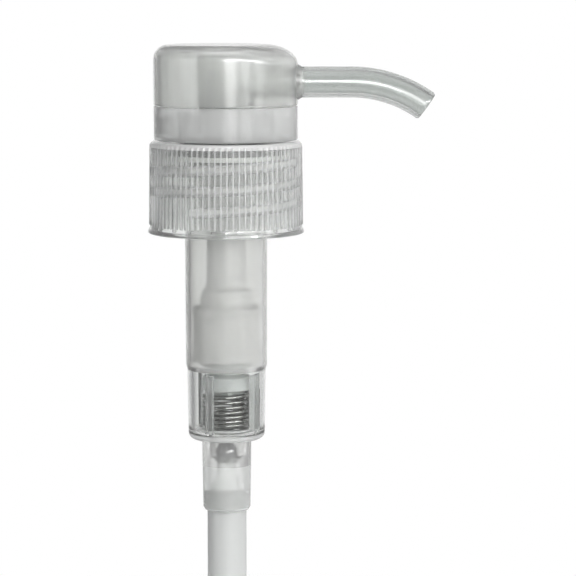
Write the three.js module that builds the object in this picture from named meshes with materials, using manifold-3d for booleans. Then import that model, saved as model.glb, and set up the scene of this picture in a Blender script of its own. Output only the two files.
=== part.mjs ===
// A screw-on dispensing pump for a 28 mm bottle neck, locked down, with its spout along +X.
// Millimetres. The origin is on the pump's axis, at the gasket's sealing face, and +Z is up.

import * as THREE from "three";
import { mergeVertices } from "three/addons/utils/BufferGeometryUtils.js";
import Module from "manifold-3d";

const wasm = await Module();
wasm.setup();

// ---------------------------------------------------------------- driving dimensions

const FULL_TURN = 2 * Math.PI;
const WELD = 1e-4; // vertices closer than this are one vertex
const ROUND = 40; // facets around a large round part
const SMALL_ROUND = 24; // facets around a small round part
const THREAD_STEPS = 24; // steps in one turn of the lock thread
const OVERSHOOT = 1; // how far a cutting body runs past what it cuts

const BOTTLE_PITCH = 4.233; // six threads per inch
const CLOSURE_BORE = 13.95; // radius
const CLOSURE_CREST = 12.75; // radius of the inside thread's crest
const CLOSURE_TOP = 3.7;
const CLOSURE_RIM = -15.3;
const CLOSURE_BODY = 15.45; // radius under the ribs
const CLOSURE_HOLE = 8.95; // radius

const HEAD_RADIUS = 14.9;
const HEAD_TOP = 23.6;
const HEAD_SEAM = 11.15; // lowest edge of the button
const HEAD_WALL = 1.45;

const COLLAR_TOP = 11.0;
const COLLAR_FOOT = 4.0;

const SPOUT_LEVEL = 15.8; // height of the spout's straight run
const SPOUT_RADIUS = 3.2;
const SPOUT_BORE = 2.25;
const SPOUT_BEND_START = 25.9; // distance from the pump's axis
const SPOUT_BEND_RADIUS = 26.5;
const SPOUT_DROOP = 35.9 * (Math.PI / 180); // how far the tip points down

const HOUSING_RADIUS = 8.6;
const HOUSING_BORE = 7.35;
const HOUSING_TOP = 8.4;
const STEP_LEVEL = -42.9; // the barrel narrows below here
const FLOOR_LEVEL = -57.3; // floor of the spring well
const NECK_END = -73.7;

const STEM_RADIUS = 4.13;
const STEM_BORE = 2.9;
const STEM_TOP = 13.2;
const STEM_END = -41.9;

const FLANGE_RADIUS = 12.5; // the housing's flange and the gasket under it
const FLANGE_LOW = 1.0;
const FLANGE_HIGH = 2.2;

const LOCK_RADIUS = 5.6; // the button's post, under its thread
const LOCK_BORE = 6.2; // radius of the collar's threaded sleeve
const LOCK_PITCH = 2.4;

const BALL_RADIUS = 2.38; // foot valve
const BALL_LEVEL = -61.52;
const DISCHARGE_BALL_RADIUS = 2.0;
const DISCHARGE_BALL_LEVEL = 12.03;

const SPRING_TOP = -48.1;
const SPRING_END = -56.3;
const SPRING_WIRE = 0.44; // radius
const SPRING_MEAN = 4.72; // radius of the coil's centre line

const TUBE_RADIUS = 4.1;
const TUBE_BORE = 3.2;
const TUBE_TOP = -69.7;
const TUBE_END = -178;
const TUBE_CUT = 30 * (Math.PI / 180); // slant of the cut at the tube's foot

// ---------------------------------------------------------------- geometry helpers

/** Changes a three.js geometry into a manifold solid with its faces pointing out. */
function toSolid(geometry) {
  const bare = geometry.clone();
  bare.deleteAttribute("normal");
  bare.deleteAttribute("uv");
  const merged = mergeVertices(bare, WELD);
  const position = merged.attributes.position.array;
  const index = merged.index.array;
  const triangles = [];
  let volume = 0;
  const corners = [new THREE.Vector3(), new THREE.Vector3(), new THREE.Vector3()];
  for (let i = 0; i < index.length; i += 3) {
    const [a, b, c] = [index[i], index[i + 1], index[i + 2]];
    if (a === b || b === c || c === a) continue;
    triangles.push(a, b, c);
    corners[0].fromArray(position, 3 * a);
    corners[1].fromArray(position, 3 * b);
    corners[2].fromArray(position, 3 * c);
    volume += corners[0].dot(corners[1].cross(corners[2]));
  }
  if (volume < 0) {
    for (let i = 0; i < triangles.length; i += 3) {
      [triangles[i], triangles[i + 1]] = [triangles[i + 1], triangles[i]];
    }
  }
  return new wasm.Manifold(
    new wasm.Mesh({
      numProp: 3,
      vertProperties: new Float32Array(position),
      triVerts: new Uint32Array(triangles),
    }),
  );
}

/** Changes a manifold solid back into a three.js geometry. */
function toGeometry(solid) {
  const mesh = solid.getMesh();
  const geometry = new THREE.BufferGeometry();
  geometry.setAttribute("position", new THREE.BufferAttribute(mesh.vertProperties, 3));
  geometry.setIndex(new THREE.BufferAttribute(mesh.triVerts, 1));
  geometry.computeVertexNormals();
  return geometry;
}

/** Points of a circular arc in a profile, from one angle to another, in degrees. */
function arc(centreR, centreZ, radius, from, to, steps) {
  const points = [];
  for (let i = 0; i <= steps; i += 1) {
    const angle = ((from + ((to - from) * i) / steps) * Math.PI) / 180;
    points.push([centreR + radius * Math.cos(angle), centreZ + radius * Math.sin(angle)]);
  }
  return points;
}

/** Turns a profile of [radius, height] points about Z. A ring's profile is closed by itself. */
function turned(profile, facets = ROUND) {
  const points = profile.map(([r, z]) => new THREE.Vector2(r, z));
  const onAxis = profile[0][0] === 0 && profile[profile.length - 1][0] === 0;
  if (!onAxis) points.push(points[0].clone());
  const geometry = new THREE.LatheGeometry(points, facets);
  geometry.rotateX(Math.PI / 2);
  return toSolid(geometry);
}

/** A plain upright cylinder between two heights. */
function rod(radius, low, high, facets = SMALL_ROUND) {
  return turned([[0, low], [radius, low], [radius, high], [0, high]], facets);
}

/** A box given by its size and centre, turned about Z. */
function block(size, centre, turn = 0) {
  const geometry = new THREE.BoxGeometry(...size);
  geometry.translate(...centre);
  geometry.rotateZ(turn);
  return toSolid(geometry);
}

/** Winds a profile of [radius, height] points round the Z axis, its height set by turn. */
function wound(profile, { turns, stepsPerTurn, startAngle, height, fade }) {
  const shape = new THREE.Shape(profile.map(([r, z]) => new THREE.Vector2(r, z)));
  const root = Math.min(...profile.map(([r]) => r));
  const outer = Math.max(...profile.map(([r]) => r));
  const geometry = new THREE.ExtrudeGeometry(shape, {
    depth: turns,
    steps: Math.round(turns * stepsPerTurn),
    bevelEnabled: false,
  });
  const position = geometry.attributes.position;
  for (let i = 0; i < position.count; i += 1) {
    const turn = position.getZ(i);
    const angle = startAngle + FULL_TURN * turn;
    const radius = fade ? fade(position.getX(i), turn, root, outer) : position.getX(i);
    position.setXYZ(
      i,
      radius * Math.cos(angle),
      radius * Math.sin(angle),
      position.getY(i) + height(turn),
    );
  }
  return toSolid(geometry);
}

/** How far a thread stands up at one turn: a short run-in and run-out at its ends. */
function threadRunOut(turn, turns) {
  const runIn = 0.12; // of a turn
  return Math.min(1, 0.15 + Math.min(turn, turns - turn) / runIn);
}

/** A round bar or bore along the spout's line, from a start distance to past the tip. */
function alongSpout(radius, start, past, facets) {
  const section = new THREE.Shape();
  section.absarc(0, 0, radius, 0, FULL_TURN, false);
  const bendCentre = new THREE.Vector3(SPOUT_BEND_START, 0, SPOUT_LEVEL - SPOUT_BEND_RADIUS);
  const path = new THREE.CurvePath();
  const bendStart = new THREE.Vector3(SPOUT_BEND_START, 0, SPOUT_LEVEL);
  path.add(new THREE.LineCurve3(new THREE.Vector3(start, 0, SPOUT_LEVEL), bendStart));
  const bendPoints = 12;
  let last = bendStart;
  for (let i = 1; i <= bendPoints; i += 1) {
    const angle = (SPOUT_DROOP * i) / bendPoints;
    const offset = new THREE.Vector3(Math.sin(angle), 0, Math.cos(angle));
    const next = bendCentre.clone().addScaledVector(offset, SPOUT_BEND_RADIUS);
    path.add(new THREE.LineCurve3(last, next));
    last = next;
  }
  if (past > 0) {
    const out = new THREE.Vector3(Math.cos(SPOUT_DROOP), 0, -Math.sin(SPOUT_DROOP));
    path.add(new THREE.LineCurve3(last, last.clone().addScaledVector(out, past)));
  }
  const geometry = new THREE.ExtrudeGeometry(section, {
    steps: 22,
    curveSegments: facets / 2,
    bevelEnabled: false,
    extrudePath: path,
  });
  return toSolid(geometry);
}

// ---------------------------------------------------------------- materials

/** A moulded or metal surface. */
function finish(colour, roughness, metalness = 0, opacity = 1) {
  return new THREE.MeshStandardMaterial({
    color: colour,
    roughness,
    metalness,
    opacity,
    transparent: opacity < 1,
  });
}

const clearPlastic = () => finish(0xc9cecd, 0.18, 0, 0.45);
const frostedPlastic = () => finish(0xd2d6d5, 0.42, 0, 0.7);
const milkyPlastic = () => finish(0xdde0df, 0.35, 0, 0.85);
const tubePlastic = () => finish(0xd4d6d6, 0.4, 0, 0.8);
const softSeal = () => finish(0xe6e7e5, 0.7);
const steel = () => finish(0x9a9c9e, 0.22, 1);
const glass = () => finish(0xc4cdca, 0.08, 0, 0.6);

// ---------------------------------------------------------------- actuator head

/** A round-topped drum whose top corner grows wider and lower towards the spout. */
function dome(radius, top, bottom, corner, frontWide, frontHigh) {
  const cornerSteps = 5;
  const columns = ROUND;
  const profileAt = (angle) => {
    const towardsSpout = THREE.MathUtils.smoothstep(Math.cos(angle), 0.1, 0.9);
    const wide = THREE.MathUtils.lerp(corner, frontWide, towardsSpout);
    const high = THREE.MathUtils.lerp(corner, frontHigh, towardsSpout);
    const profile = [[0, bottom], [radius, bottom]];
    for (let i = 0; i <= cornerSteps; i += 1) {
      const turn = (Math.PI / 2) * (i / cornerSteps);
      profile.push([radius - wide + wide * Math.cos(turn), top - high + high * Math.sin(turn)]);
    }
    profile.push([0, top]);
    return profile;
  };
  const plain = profileAt(Math.PI).map(([r, z]) => new THREE.Vector2(r, z));
  const geometry = new THREE.LatheGeometry(plain, columns);
  const position = geometry.attributes.position;
  for (let column = 0; column <= columns; column += 1) {
    const angle = (FULL_TURN * (column % columns)) / columns;
    profileAt(angle).forEach(([r, z], row) => {
      position.setXYZ(column * plain.length + row, r * Math.cos(angle), r * Math.sin(angle), z);
    });
  }
  return toSolid(geometry);
}

/** The clear button: domed drum, hollow post with the lock thread, and the curved spout. */
function actuatorHead() {
  const cornerRadius = 3.0;
  const shoulderWide = 6.8;
  const shoulderHigh = 4.1;
  const postRadius = 5.9;
  const lockCrest = 6.05;
  const postEnd = 0.6;
  const socketRadius = 4.3;
  const chamberRadius = 2.9;
  const chamberTop = 18.3;
  const pinRadius = 0.8;
  const pinEnd = 15.6;

  const drum = dome(HEAD_RADIUS, HEAD_TOP, HEAD_SEAM, cornerRadius, shoulderWide, shoulderHigh);
  const hollow = dome(
    HEAD_RADIUS - HEAD_WALL,
    HEAD_TOP - HEAD_WALL,
    HEAD_SEAM - OVERSHOOT,
    cornerRadius - HEAD_WALL,
    shoulderWide - HEAD_WALL,
    shoulderHigh - HEAD_WALL,
  );
  const post = turned(
    [
      [0, postEnd],
      [LOCK_RADIUS, postEnd],
      [LOCK_RADIUS, HEAD_SEAM],
      [postRadius, HEAD_SEAM + 0.3],
      [postRadius, HEAD_TOP - HEAD_WALL / 2],
      [0, HEAD_TOP - HEAD_WALL / 2],
    ],
    SMALL_ROUND,
  );
  const lockTurns = 1.5;
  const lockRoot = LOCK_RADIUS - 0.3; // sunk into the post, so that the two join
  const lockThread = wound(
    [[lockRoot, -0.6], [lockCrest, -0.2], [lockCrest, 0.2], [lockRoot, 0.6]],
    {
      turns: lockTurns,
      stepsPerTurn: THREAD_STEPS,
      startAngle: 0,
      height: (turn) => 3.0 + LOCK_PITCH * turn,
      fade: (r, turn, root) => root + (r - root) * threadRunOut(turn, lockTurns),
    },
  );
  const spout = alongSpout(SPOUT_RADIUS, postRadius - OVERSHOOT, 0, 18);
  const socket = rod(socketRadius, postEnd - OVERSHOOT, STEM_TOP + 0.3);
  const chamber = rod(chamberRadius, STEM_TOP, chamberTop);
  const passage = alongSpout(SPOUT_BORE, 0, OVERSHOOT, 14);
  const ballStop = rod(pinRadius, pinEnd, chamberTop + 0.2, 12);

  return drum
    .subtract(hollow)
    .add(post)
    .add(lockThread)
    .add(spout)
    .subtract(socket)
    .subtract(chamber)
    .subtract(passage)
    .add(ballStop);
}

// ---------------------------------------------------------------- lock collar

/** The clear collar under the button: snap sleeve, threaded lock sleeve and stem guide. */
function lockCollar() {
  const sleeveTop = 9.7;
  const sleeveOuter = 10.1;
  const floorTop = COLLAR_FOOT + 1.2;
  const ledge = -1.0; // the stem guide's top
  const guideBore = 4.9;
  const foot = -2.2;
  const slotInner = 7.1; // the slot that takes the housing's top
  const slotTop = HOUSING_TOP + 0.3;
  const body = turned([
    [HEAD_RADIUS, COLLAR_FOOT],
    [HEAD_RADIUS, COLLAR_TOP - 0.2],
    [HEAD_RADIUS - 0.2, COLLAR_TOP],
    [HEAD_RADIUS - HEAD_WALL, COLLAR_TOP],
    [HEAD_RADIUS - HEAD_WALL, floorTop],
    [sleeveOuter, floorTop],
    [sleeveOuter, sleeveTop],
    [LOCK_BORE, sleeveTop],
    [LOCK_BORE, ledge],
    [guideBore, ledge],
    [guideBore, foot],
    [slotInner, foot],
    [slotInner, slotTop],
    [CLOSURE_HOLE, slotTop],
    [CLOSURE_HOLE, COLLAR_FOOT],
  ]);
  const grooveTurns = 2.5;
  const grooveMouth = LOCK_BORE - 0.4;
  const grooveRoot = LOCK_BORE + 0.4;
  const groove = wound(
    [[grooveMouth, -0.9], [grooveRoot, -0.35], [grooveRoot, 0.35], [grooveMouth, 0.9]],
    {
      turns: grooveTurns,
      stepsPerTurn: THREAD_STEPS,
      startAngle: 0,
      height: (turn) => 0.8 + LOCK_PITCH * turn,
      fade: (r, turn, root) => root + (r - root) * threadRunOut(turn, grooveTurns),
    },
  );
  return body.subtract(groove);
}

/** The soft ring in the collar's foot that wipes the stem. */
function lockSeal() {
  const wipe = STEM_RADIUS + 0.12;
  const plug = 4.8;
  const brim = 5.2;
  return turned(
    [[wipe, -3.4], [brim, -3.4], [brim, -2.3], [plug, -2.3], [plug, -0.7], [wipe, -1.1]],
    SMALL_ROUND,
  );
}

// ---------------------------------------------------------------- screw closure

/** The ribbed cap with its inside bottle thread and the lugs at its rim. */
function screwClosure() {
  const ribCount = 80;
  const ribValley = 15.52;
  const ribCrest = 15.85;
  const lugCount = 20;
  const corner = 1.2;
  const ceiling = CLOSURE_TOP - 1.25;

  const body = turned([
    [CLOSURE_HOLE, CLOSURE_TOP],
    ...arc(CLOSURE_BODY - corner, CLOSURE_TOP - corner, corner, 90, 0, 3),
    [CLOSURE_BODY, CLOSURE_RIM + 1.2],
    [16.05, CLOSURE_RIM + 0.9],
    [16.25, CLOSURE_RIM],
    [CLOSURE_BORE, CLOSURE_RIM],
    [CLOSURE_BORE, ceiling],
    [CLOSURE_HOLE, ceiling],
  ]);

  const outline = [];
  for (let i = 0; i < 2 * ribCount; i += 1) {
    const radius = i % 2 ? ribValley : ribCrest;
    const angle = (FULL_TURN * i) / (2 * ribCount);
    outline.push(new THREE.Vector2(radius * Math.cos(angle), radius * Math.sin(angle)));
  }
  const ribBand = new THREE.Shape(outline);
  const inside = new THREE.Path();
  inside.absarc(0, 0, CLOSURE_BODY - 0.6, 0, FULL_TURN, true);
  ribBand.holes.push(inside);
  const ribLow = -13.9;
  const ribHigh = 2.3;
  const ribGeometry = new THREE.ExtrudeGeometry(ribBand, {
    depth: ribHigh - ribLow,
    steps: 1,
    curveSegments: ROUND / 2,
    bevelEnabled: false,
  });
  ribGeometry.translate(0, 0, ribLow);

  const threadTurns = 2.25;
  const threadRoot = CLOSURE_BORE + 0.3; // sunk into the wall, so that the two join
  const threadStart = -10.1;
  const thread = wound(
    [[threadRoot, -1.1], [threadRoot, 1.1], [CLOSURE_CREST, 0.5], [CLOSURE_CREST, -0.5]],
    {
      turns: threadTurns,
      stepsPerTurn: 30,
      startAngle: -110 * (Math.PI / 180),
      height: (turn) => threadStart + BOTTLE_PITCH * turn,
      fade: (r, turn, root, outer) => outer - (outer - r) * threadRunOut(turn, threadTurns),
    },
  );

  let cap = body.add(toSolid(ribGeometry)).add(thread);
  for (let i = 0; i < lugCount; i += 1) {
    const turn = (FULL_TURN * (i + 0.5)) / lugCount;
    cap = cap.add(block([0.7, 0.7, 1.1], [CLOSURE_BORE, 0, CLOSURE_RIM + 0.8], turn));
  }
  return cap;
}

/** The flat washer that seals the flange on the bottle's lip. */
function neckGasket() {
  const low = 0;
  return turned([
    [CLOSURE_HOLE, low],
    [FLANGE_RADIUS, low],
    [FLANGE_RADIUS, FLANGE_LOW],
    [CLOSURE_HOLE, FLANGE_LOW],
  ]);
}

// ---------------------------------------------------------------- pump housing

/** The clear barrel, from its snap rings and flange down to the dip tube's socket. */
function pumpHousing() {
  const ringCount = 5;
  const ringPitch = 0.78;
  const ringHalf = 0.25;
  const rings = [];
  for (let i = 0; i < ringCount; i += 1) {
    const centre = HOUSING_TOP - 1.0 - i * ringPitch;
    rings.push([HOUSING_RADIUS, centre + ringHalf]);
    rings.push([HOUSING_RADIUS + 0.15, centre]);
    rings.push([HOUSING_RADIUS, centre - ringHalf]);
  }
  const body = turned([
    [HOUSING_BORE, HOUSING_TOP],
    [HOUSING_RADIUS, HOUSING_TOP],
    ...rings,
    [HOUSING_RADIUS, FLANGE_HIGH],
    [FLANGE_RADIUS, FLANGE_HIGH],
    [FLANGE_RADIUS, FLANGE_LOW],
    [HOUSING_RADIUS, FLANGE_LOW],
    [8.47, STEP_LEVEL],
    [8.19, STEP_LEVEL - 1.0],
    [7.98, -56.2],
    ...arc(5.58, -56.2, 2.4, -22.5, -90, 3),
    [5.17, -59.2],
    [4.96, NECK_END + 0.6],
    [4.6, NECK_END],
    [4.25, NECK_END],
    [4.25, -69.4],
    [2.6, -69.4],
    [1.5, -65.5],
    [1.5, -63.6],
    [2.75, -62.0],
    [2.75, FLOOR_LEVEL],
    [5.8, FLOOR_LEVEL],
    [6.85, -56.2],
    [6.9, STEP_LEVEL - 1.0],
    [HOUSING_BORE, STEP_LEVEL],
  ]);
  const ribInner = 5.55;
  const ribOuter = 7.3;
  const ribTop = -44.4;
  let housing = body;
  for (const degrees of [-120, -30, 60, 150]) {
    const rib = block(
      [ribOuter - ribInner, 1.2, ribTop - FLOOR_LEVEL + 0.4],
      [(ribOuter + ribInner) / 2, 0, (ribTop + FLOOR_LEVEL - 0.4) / 2],
      (degrees * Math.PI) / 180,
    );
    housing = housing.add(rib);
  }
  const ventRadius = 0.45;
  const ventLevel = -7;
  const vent = new THREE.CylinderGeometry(ventRadius, ventRadius, 3, 12);
  vent.translate(0, HOUSING_RADIUS - 0.6, ventLevel);
  return housing.subtract(toSolid(vent));
}

/** The slotted washer under the spring, which also keeps the foot ball in its chamber. */
function ballCage() {
  const hole = 1.3;
  const rim = 5.35;
  const low = FLOOR_LEVEL + 0.2;
  const high = SPRING_END - 0.1;
  let cage = turned([[hole, low], [rim, low], [rim, high], [hole, high]], SMALL_ROUND);
  const slotCount = 4;
  for (let i = 0; i < slotCount; i += 1) {
    const turn = (FULL_TURN * (i + 0.5)) / slotCount;
    cage = cage.subtract(block([1.4, 1.6, 2], [2.9, 0, (low + high) / 2], turn));
  }
  return cage;
}

/** The suction tube, with its foot cut on a slant so that it can't seal on a bottle's floor. */
function dipTube() {
  const tube = turned(
    [
      [TUBE_BORE, TUBE_END],
      [TUBE_RADIUS, TUBE_END],
      [TUBE_RADIUS, TUBE_TOP],
      [TUBE_BORE, TUBE_TOP],
    ],
    SMALL_ROUND,
  );
  const wide = 40;
  const knife = new THREE.BoxGeometry(wide, wide, wide);
  knife.translate(0, 0, -wide / 2);
  knife.rotateY(TUBE_CUT);
  knife.translate(0, 0, TUBE_END + TUBE_RADIUS * Math.tan(TUBE_CUT));
  return tube.subtract(toSolid(knife));
}

// ---------------------------------------------------------------- plunger

/** The hollow rod between the button and the piston, with the delivery valve's seat on top. */
function stem() {
  return turned(
    [
      [STEM_RADIUS, STEM_END],
      [STEM_RADIUS, STEM_TOP],
      [2.5, STEM_TOP],
      [2.5, 11.5],
      [1.3, 10.4],
      [1.3, 9.6],
      [STEM_BORE, 8.6],
      [STEM_BORE, STEM_END],
    ],
    SMALL_ROUND,
  );
}

/** The sliding seal: a sleeve on the stem with one lip turned up and one turned down. */
function piston() {
  const bore = STEM_RADIUS + 0.12;
  const lip = 7.15;
  return turned(
    [
      [bore, -27.0],
      [4.9, -27.0],
      [5.54, -29.4],
      [5.6, -32.8],
      [6.6, -32.8],
      [6.8, -30.8],
      [lip, -30.8],
      [lip, -31.6],
      [6.9, -32.4],
      [6.9, -40.4],
      [lip, -41.2],
      [lip, -42.0],
      [6.8, -42.0],
      [6.5, -39.0],
      [5.6, -39.0],
      [5.5, -41.9],
      [bore, -41.9],
    ],
    ROUND,
  );
}

/** The plug under the stem: it clamps the piston, lets liquid in and presses on the spring. */
function plungerSeat() {
  const plug = turned(
    [
      [0, -37.6],
      [2.5, -37.6],
      [2.75, -38.2],
      [2.75, -42.2],
      [5.4, -42.2],
      [5.4, -43.2],
      [3.5, -43.6],
      [3.5, -44.8],
      [5.17, -45.4],
      [5.17, SPRING_TOP],
      [3.9, SPRING_TOP],
      [3.7, -49.4],
      [0, -49.4],
    ],
    SMALL_ROUND,
  );
  const inletSlot = (turn) =>
    block([5.9, 1.3, 8.4], [0, 0, -40.3], turn).add(block([7.6, 1.3, 1.0], [0, 0, -44.1], turn));
  return plug.subtract(inletSlot(0)).subtract(inletSlot(Math.PI / 2));
}

/** The compressed steel spring: its lower coils nearly close, its upper coils a little open. */
function returnSpring() {
  const turns = 7.4;
  const wireFacets = 6;
  const circle = [];
  for (let i = 0; i < wireFacets; i += 1) {
    const angle = (FULL_TURN * i) / wireFacets;
    circle.push([SPRING_MEAN + SPRING_WIRE * Math.cos(angle), SPRING_WIRE * Math.sin(angle)]);
  }
  const low = SPRING_END + SPRING_WIRE + 0.02;
  const high = SPRING_TOP - SPRING_WIRE - 0.02;
  const closing = 1.18; // how much the coils open upwards
  return wound(circle, {
    turns,
    stepsPerTurn: 16,
    startAngle: 0,
    height: (turn) => low + (high - low) * (turn / turns) ** closing,
  });
}

/** A valve ball. */
function ball(radius, level) {
  const geometry = new THREE.SphereGeometry(radius, 16, 12);
  geometry.rotateX(Math.PI / 2);
  geometry.translate(0, 0, level);
  return toSolid(geometry);
}

// ---------------------------------------------------------------- assembly

const pump = new THREE.Group();

/** Adds one named part to an assembly. */
function place(group, name, solid, material) {
  const mesh = new THREE.Mesh(toGeometry(solid), material);
  mesh.name = name;
  group.add(mesh);
}

const fixedParts = new THREE.Group();
place(fixedParts, "pump_housing", pumpHousing(), clearPlastic());
place(fixedParts, "lock_collar", lockCollar(), clearPlastic());
place(fixedParts, "lock_seal", lockSeal(), softSeal());
place(fixedParts, "neck_gasket", neckGasket(), softSeal());
place(fixedParts, "ball_cage", ballCage(), milkyPlastic());
place(fixedParts, "dip_tube", dipTube(), tubePlastic());

const turningParts = new THREE.Group();
place(turningParts, "screw_closure", screwClosure(), frostedPlastic());

const plunger = new THREE.Group();
place(plunger, "actuator_head", actuatorHead(), clearPlastic());
place(plunger, "stem", stem(), milkyPlastic());
place(plunger, "piston", piston(), milkyPlastic());
place(plunger, "plunger_seat", plungerSeat(), milkyPlastic());
place(plunger, "return_spring", returnSpring(), steel());

const valves = new THREE.Group();
place(valves, "inlet_ball", ball(BALL_RADIUS, BALL_LEVEL), steel());
place(valves, "discharge_ball", ball(DISCHARGE_BALL_RADIUS, DISCHARGE_BALL_LEVEL), glass());

pump.add(fixedParts, turningParts, plunger, valves);

export default pump;
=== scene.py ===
import math

import bmesh
import bpy
import numpy as np
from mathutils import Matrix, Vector


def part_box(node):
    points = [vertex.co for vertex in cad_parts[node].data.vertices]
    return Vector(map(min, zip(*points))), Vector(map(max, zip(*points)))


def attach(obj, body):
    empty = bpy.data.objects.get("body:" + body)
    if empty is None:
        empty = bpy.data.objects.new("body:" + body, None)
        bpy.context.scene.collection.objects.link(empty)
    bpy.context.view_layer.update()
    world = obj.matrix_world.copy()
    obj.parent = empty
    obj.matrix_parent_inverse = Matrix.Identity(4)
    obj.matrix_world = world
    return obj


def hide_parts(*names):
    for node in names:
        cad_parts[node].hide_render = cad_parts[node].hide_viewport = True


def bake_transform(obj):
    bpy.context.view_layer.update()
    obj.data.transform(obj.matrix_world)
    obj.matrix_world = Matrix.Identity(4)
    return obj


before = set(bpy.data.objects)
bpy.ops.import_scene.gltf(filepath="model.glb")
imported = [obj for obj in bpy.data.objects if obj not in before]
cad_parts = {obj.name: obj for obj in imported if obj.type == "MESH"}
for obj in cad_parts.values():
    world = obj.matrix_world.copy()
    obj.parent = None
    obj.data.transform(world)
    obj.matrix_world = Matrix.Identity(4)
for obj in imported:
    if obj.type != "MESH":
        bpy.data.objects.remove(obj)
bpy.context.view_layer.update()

# The visual model of a screw-on dispensing pump. Profiles are in millimetres, like the CAD
# model, and become metres when a mesh is made. Z is up and the spout points along +X.

MM = 0.001
FULL_TURN = 2 * math.pi
SMOOTH_ANGLE = math.radians(32)  # edges sharper than this stay sharp
FILLET_STEPS = 5
LARGEST_CUT = 0.48  # share of the shorter side that a fillet may take
FILLET_GUARD = 0.06  # how far outside a fillet its extra points lie, at most
GUARD_SHARE = 0.3  # share of what the fillet leaves of the side
LEAST_GUARD = 1e-3
NEARLY_STRAIGHT = math.radians(89)  # half of a corner's angle, above which it isn't rounded
LEAST_RADIUS = 0.05  # of a profile that ends on the axis

# ---------------------------------------------------------------- places read from the frame


def node_box(node):
    """A CAD node's (lowest, highest) corner in millimetres."""
    low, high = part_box(node)
    return Vector(low) / MM, Vector(high) / MM


housing_low, housing_high = node_box("pump_housing")
collar_low, collar_high = node_box("lock_collar")
closure_low, closure_high = node_box("screw_closure")
head_low, head_high = node_box("actuator_head")
stem_low, stem_high = node_box("stem")
piston_low, piston_high = node_box("piston")
seat_low, seat_high = node_box("plunger_seat")
spring_low, spring_high = node_box("return_spring")
cage_low, cage_high = node_box("ball_cage")
tube_low, tube_high = node_box("dip_tube")
gasket_low, gasket_high = node_box("neck_gasket")
seal_low, seal_high = node_box("lock_seal")

# ---------------------------------------------------------------- mesh helpers


def rounded(points):
    """Rounds the corners of an open profile. A point is (radius, height) or (radius, height,
    fillet). Each fillet gets a point just outside its ends, so that flat walls stay flat."""
    result = []
    count = len(points)
    for i, point in enumerate(points):
        here = np.array(point[:2], float)
        fillet = point[2] if len(point) > 2 else 0.0
        if fillet == 0.0 or i in (0, count - 1):
            result.append(here)
            continue
        before = np.array(points[i - 1][:2], float) - here
        after = np.array(points[i + 1][:2], float) - here
        reach = [np.linalg.norm(before), np.linalg.norm(after)]
        before, after = before / reach[0], after / reach[1]
        half = 0.5 * math.acos(np.clip(before @ after, -1, 1))
        if half > NEARLY_STRAIGHT:
            result.append(here)
            continue
        cut = min(fillet / math.tan(half), LARGEST_CUT * min(reach))
        radius = cut * math.tan(half)
        bisector = (before + after) / np.linalg.norm(before + after)
        centre = here + bisector * (radius / math.sin(half))
        first, last = here + before * cut, here + after * cut
        spare = min(FILLET_GUARD, GUARD_SHARE * (min(reach) - cut))
        if spare > LEAST_GUARD:
            result.append(first + before * spare)
        start, end = first - centre, last - centre
        sweep = math.pi - 2 * half
        for k in range(FILLET_STEPS + 1):
            t = k / FILLET_STEPS
            weight_a = math.sin((1 - t) * sweep) / math.sin(sweep)
            weight_b = math.sin(t * sweep) / math.sin(sweep)
            result.append(centre + start * weight_a + end * weight_b)
        if spare > LEAST_GUARD:
            result.append(last + after * spare)
    return result


def rows(points, angles, change=None):
    """Rows of a turned surface: one (radius, height) pair of arrays for each profile point."""
    radius = np.array([p[0] for p in points])[:, None] * np.ones(len(angles))
    height = np.array([p[1] for p in points])[:, None] * np.ones(len(angles))
    if change is not None:
        radius, height = change(radius, height, angles[None, :])
    return np.stack([radius, height], axis=2)


def line(start, end, count):
    """Evenly spaced profile points between two, without the first."""
    steps = np.arange(1, count + 1)[:, None] / count
    return list(np.array(start) + (np.array(end) - np.array(start)) * steps)


def ring_angles(count):
    """Angles around the axis, evenly spaced."""
    return np.arange(count) * FULL_TURN / count


def turned_mesh(name, grid, angles, closed=True):
    """A mesh from rows of a turned surface. closed joins the last row to the first; an open
    grid starts and ends on the axis, where each end row shrinks to one point."""
    count, around = grid.shape[0], grid.shape[1]
    x = grid[:, :, 0] * np.cos(angles)[None, :]
    y = grid[:, :, 0] * np.sin(angles)[None, :]
    z = grid[:, :, 1]
    points = (np.stack([x, y, z], axis=2) * MM).reshape(-1, 3)
    step = np.arange(around)
    ahead = (step + 1) % around
    faces = []
    last = count if closed else count - 1
    for row in range(last):
        low = (row % count) * around
        high = ((row + 1) % count) * around
        faces.append(np.stack([low + step, low + ahead, high + ahead, high + step], axis=1))
    faces = np.concatenate(faces).tolist()
    verts = points.tolist()
    if not closed:
        for end, flip in ((0, False), (count - 1, True)):
            pole = len(verts)
            verts.append([0.0, 0.0, float(grid[end, 0, 1]) * MM])
            base = end * around
            for i in range(around):
                pair = [base + int(ahead[i]), base + i]
                faces.append(([pair[1], pair[0]] if flip else pair) + [pole])
    mesh = bpy.data.meshes.new(name)
    mesh.from_pydata(verts, [], faces)
    mesh.validate()
    return mesh


def outward(mesh):
    """Turns the faces of a closed mesh outwards and smooths it up to its sharp edges."""
    work = bmesh.new()
    work.from_mesh(mesh)
    bmesh.ops.recalc_face_normals(work, faces=work.faces)
    if work.calc_volume(signed=True) < 0:
        bmesh.ops.reverse_faces(work, faces=work.faces)
    work.to_mesh(mesh)
    work.free()
    mesh.shade_smooth()
    mesh.set_sharp_from_angle(angle=SMOOTH_ANGLE)
    return mesh


def new_object(name, mesh):
    """An object in the scene that holds a mesh."""
    thing = bpy.data.objects.new(name, outward(mesh))
    bpy.context.scene.collection.objects.link(thing)
    return thing


def turned(name, profile, around=128, closed=True):
    """An object turned from a rounded profile."""
    angles = ring_angles(around)
    points = rounded_ring(profile) if closed else rounded(profile)
    return new_object(name, turned_mesh(name, rows(points, angles), angles, closed))


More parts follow.
